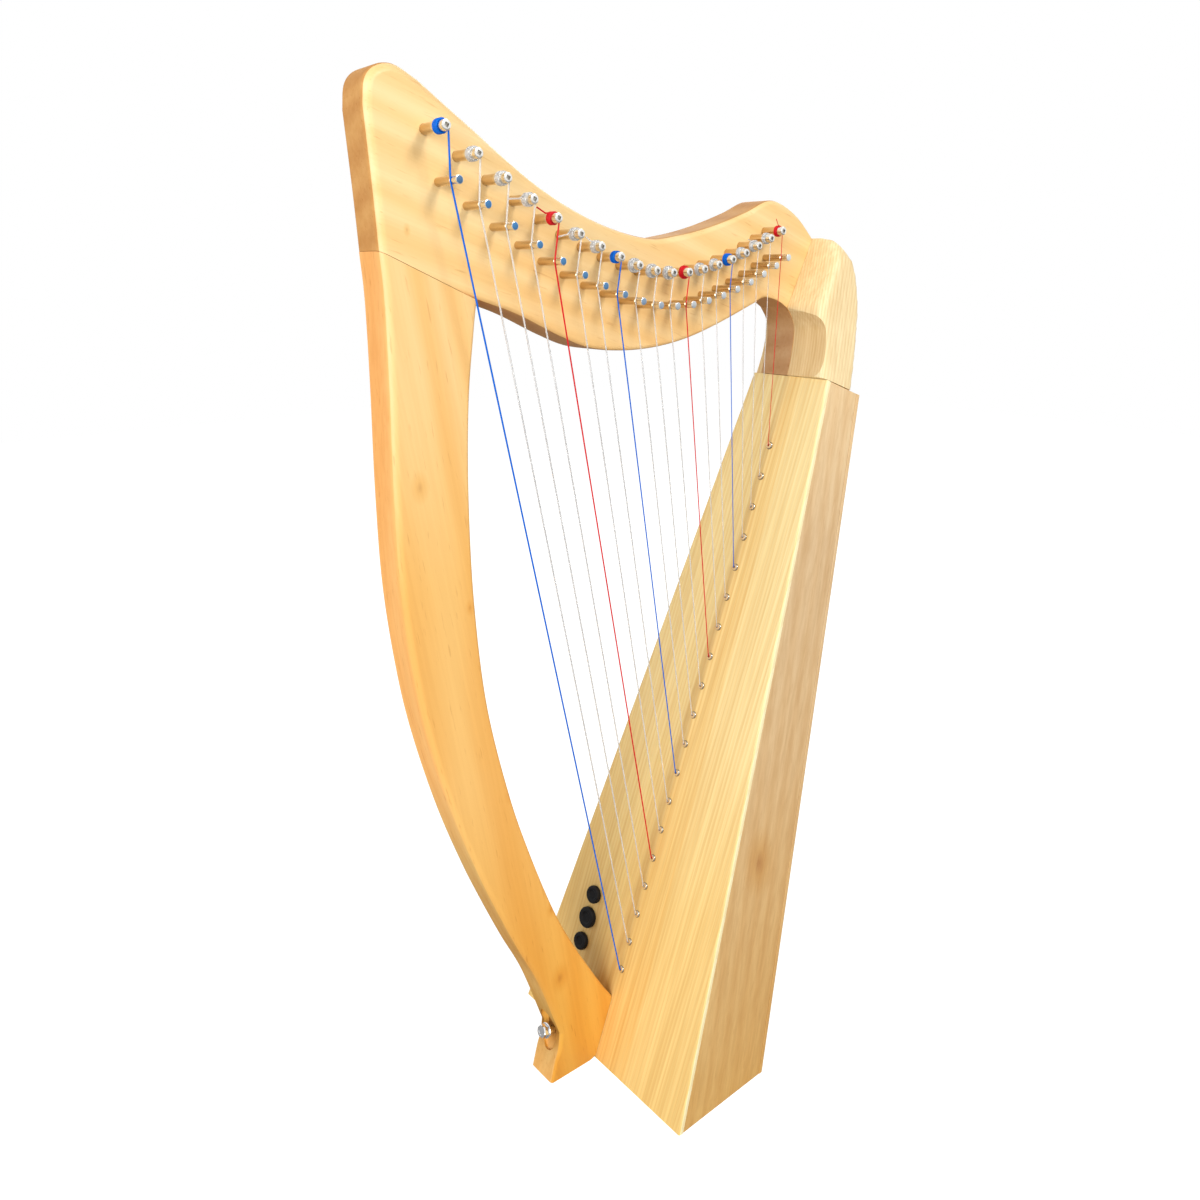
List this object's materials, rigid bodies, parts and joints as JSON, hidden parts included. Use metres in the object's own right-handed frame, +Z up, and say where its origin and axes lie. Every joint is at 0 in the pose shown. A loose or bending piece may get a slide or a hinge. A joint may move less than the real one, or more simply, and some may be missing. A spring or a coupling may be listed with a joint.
{
  "type": "lap harp",
  "caption": "Small lap harp: curved wooden neck and pillar, tapered soundbox, shoulder block, nylon strings on turning pins, and control knobs on the soundboard.",
  "frame": {"origin": "middle of the soundbox's base, on the floor", "axes": "+Z up, +X from the pillar towards the soundbox, -Y the side that carries the strings"},
  "size_m": [0.4062, 0.2116, 0.7676],
  "materials": {
    "maple": "satin lacquer",
    "pine": "satin lacquer",
    "side_wood": "satin lacquer",
    "inner_wood": "bare",
    "steel": "polished",
    "brass": "plain",
    "blue_nylon": "smooth",
    "red_nylon": "smooth",
    "clear_nylon": "smooth, milky",
    "black_plastic": "satin",
    "circuit_board": "plain"
  },
  "bodies": {
    "root": {"neck": "maple", "pillar": "maple", "shoulder_block": "pine", "soundboard": "pine", "side_near": "side_wood", "side_far": "side_wood", "back_panel": "side_wood", "base_block": "inner_wood", "top_block": "inner_wood", "string_rib": "inner_wood", "foot_bolt": "steel", "foot_washer": "steel", "foot_insert": "brass", "control_board": "circuit_board", "string_01": "blue_nylon", "string_02": "clear_nylon", "string_03": "clear_nylon", "string_04": "clear_nylon", "string_05": "red_nylon", "string_06": "clear_nylon", "string_07": "clear_nylon", "string_08": "blue_nylon", "string_09": "clear_nylon", "string_10": "clear_nylon", "string_11": "clear_nylon", "string_12": "red_nylon", "string_13": "clear_nylon", "string_14": "clear_nylon", "string_15": "blue_nylon", "string_16": "clear_nylon", "string_17": "clear_nylon", "string_18": "clear_nylon", "string_19": "red_nylon"},
    "tuning_pin_01": {"tuning_pin_01": "steel"},
    "tuning_pin_02": {"tuning_pin_02": "steel"},
    "tuning_pin_03": {"tuning_pin_03": "steel"},
    "tuning_pin_04": {"tuning_pin_04": "steel"},
    "tuning_pin_05": {"tuning_pin_05": "steel"},
    "tuning_pin_06": {"tuning_pin_06": "steel"},
    "tuning_pin_07": {"tuning_pin_07": "steel"},
    "tuning_pin_08": {"tuning_pin_08": "steel"},
    "tuning_pin_09": {"tuning_pin_09": "steel"},
    "tuning_pin_10": {"tuning_pin_10": "steel"},
    "tuning_pin_11": {"tuning_pin_11": "steel"},
    "tuning_pin_12": {"tuning_pin_12": "steel"},
    "tuning_pin_13": {"tuning_pin_13": "steel"},
    "tuning_pin_14": {"tuning_pin_14": "steel"},
    "tuning_pin_15": {"tuning_pin_15": "steel"},
    "tuning_pin_16": {"tuning_pin_16": "steel"},
    "tuning_pin_17": {"tuning_pin_17": "steel"},
    "tuning_pin_18": {"tuning_pin_18": "steel"},
    "tuning_pin_19": {"tuning_pin_19": "steel"},
    "control_knob_1": {"control_knob_1": "black_plastic"},
    "control_knob_2": {"control_knob_2": "black_plastic"},
    "control_knob_3": {"control_knob_3": "black_plastic"}
  },
  "joints": [
    {"name": "tuning_pin_01_turn", "type": "hinge", "parent": "root", "child": "tuning_pin_01", "pos_m": [-0.17445, 0, 0.73507], "axis": [0, -1, 0], "range_deg": [-900, 90]},
    {"name": "tuning_pin_02_turn", "type": "hinge", "parent": "root", "child": "tuning_pin_02", "pos_m": [-0.15378, 0, 0.72221], "axis": [0, -1, 0], "range_deg": [-900, 90]},
    {"name": "tuning_pin_03_turn", "type": "hinge", "parent": "root", "child": "tuning_pin_03", "pos_m": [-0.13411, 0, 0.71029], "axis": [0, -1, 0], "range_deg": [-900, 90]},
    {"name": "tuning_pin_04_turn", "type": "hinge", "parent": "root", "child": "tuning_pin_04", "pos_m": [-0.11525, 0, 0.69949], "axis": [0, -1, 0], "range_deg": [-900, 90]},
    {"name": "tuning_pin_05_turn", "type": "hinge", "parent": "root", "child": "tuning_pin_05", "pos_m": [-0.09705, 0, 0.68944], "axis": [0, -1, 0], "range_deg": [-900, 90]},
    {"name": "tuning_pin_06_turn", "type": "hinge", "parent": "root", "child": "tuning_pin_06", "pos_m": [-0.0794, 0, 0.68062], "axis": [0, -1, 0], "range_deg": [-900, 90]},
    {"name": "tuning_pin_07_turn", "type": "hinge", "parent": "root", "child": "tuning_pin_07", "pos_m": [-0.06222, 0, 0.67334], "axis": [0, -1, 0], "range_deg": [-900, 90]},
    {"name": "tuning_pin_08_turn", "type": "hinge", "parent": "root", "child": "tuning_pin_08", "pos_m": [-0.04546, 0, 0.66721], "axis": [0, -1, 0], "range_deg": [-900, 90]},
    {"name": "tuning_pin_09_turn", "type": "hinge", "parent": "root", "child": "tuning_pin_09", "pos_m": [-0.0291, 0, 0.66204], "axis": [0, -1, 0], "range_deg": [-900, 90]},
    {"name": "tuning_pin_10_turn", "type": "hinge", "parent": "root", "child": "tuning_pin_10", "pos_m": [-0.0131, 0, 0.65855], "axis": [0, -1, 0], "range_deg": [-900, 90]},
    {"name": "tuning_pin_11_turn", "type": "hinge", "parent": "root", "child": "tuning_pin_11", "pos_m": [0.00254, 0, 0.65731], "axis": [0, -1, 0], "range_deg": [-900, 90]},
    {"name": "tuning_pin_12_turn", "type": "hinge", "parent": "root", "child": "tuning_pin_12", "pos_m": [0.01784, 0, 0.6576], "axis": [0, -1, 0], "range_deg": [-900, 90]},
    {"name": "tuning_pin_13_turn", "type": "hinge", "parent": "root", "child": "tuning_pin_13", "pos_m": [0.03279, 0, 0.65963], "axis": [0, -1, 0], "range_deg": [-900, 90]},
    {"name": "tuning_pin_14_turn", "type": "hinge", "parent": "root", "child": "tuning_pin_14", "pos_m": [0.0474, 0, 0.66257], "axis": [0, -1, 0], "range_deg": [-900, 90]},
    {"name": "tuning_pin_15_turn", "type": "hinge", "parent": "root", "child": "tuning_pin_15", "pos_m": [0.06167, 0, 0.66625], "axis": [0, -1, 0], "range_deg": [-900, 90]},
    {"name": "tuning_pin_16_turn", "type": "hinge", "parent": "root", "child": "tuning_pin_16", "pos_m": [0.0756, 0, 0.67073], "axis": [0, -1, 0], "range_deg": [-900, 90]},
    {"name": "tuning_pin_17_turn", "type": "hinge", "parent": "root", "child": "tuning_pin_17", "pos_m": [0.08919, 0, 0.67586], "axis": [0, -1, 0], "range_deg": [-900, 90]},
    {"name": "tuning_pin_18_turn", "type": "hinge", "parent": "root", "child": "tuning_pin_18", "pos_m": [0.10244, 0, 0.68131], "axis": [0, -1, 0], "range_deg": [-900, 90]},
    {"name": "tuning_pin_19_turn", "type": "hinge", "parent": "root", "child": "tuning_pin_19", "pos_m": [0.11535, 0, 0.68667], "axis": [0, -1, 0], "range_deg": [-900, 90]},
    {"name": "control_knob_1_turn", "type": "hinge", "parent": "root", "child": "control_knob_1", "pos_m": [-0.02336, 0.054, 0.07837], "axis": [-0.943, 0, 0.3327], "range_deg": [-150, 150]},
    {"name": "control_knob_2_turn", "type": "hinge", "parent": "root", "child": "control_knob_2", "pos_m": [-0.01567, 0.054, 0.10015], "axis": [-0.943, 0, 0.3327], "range_deg": [-150, 150]},
    {"name": "control_knob_3_turn", "type": "hinge", "parent": "root", "child": "control_knob_3", "pos_m": [-0.00829, 0.054, 0.12109], "axis": [-0.943, 0, 0.3327], "range_deg": [-150, 150]}
  ]
}
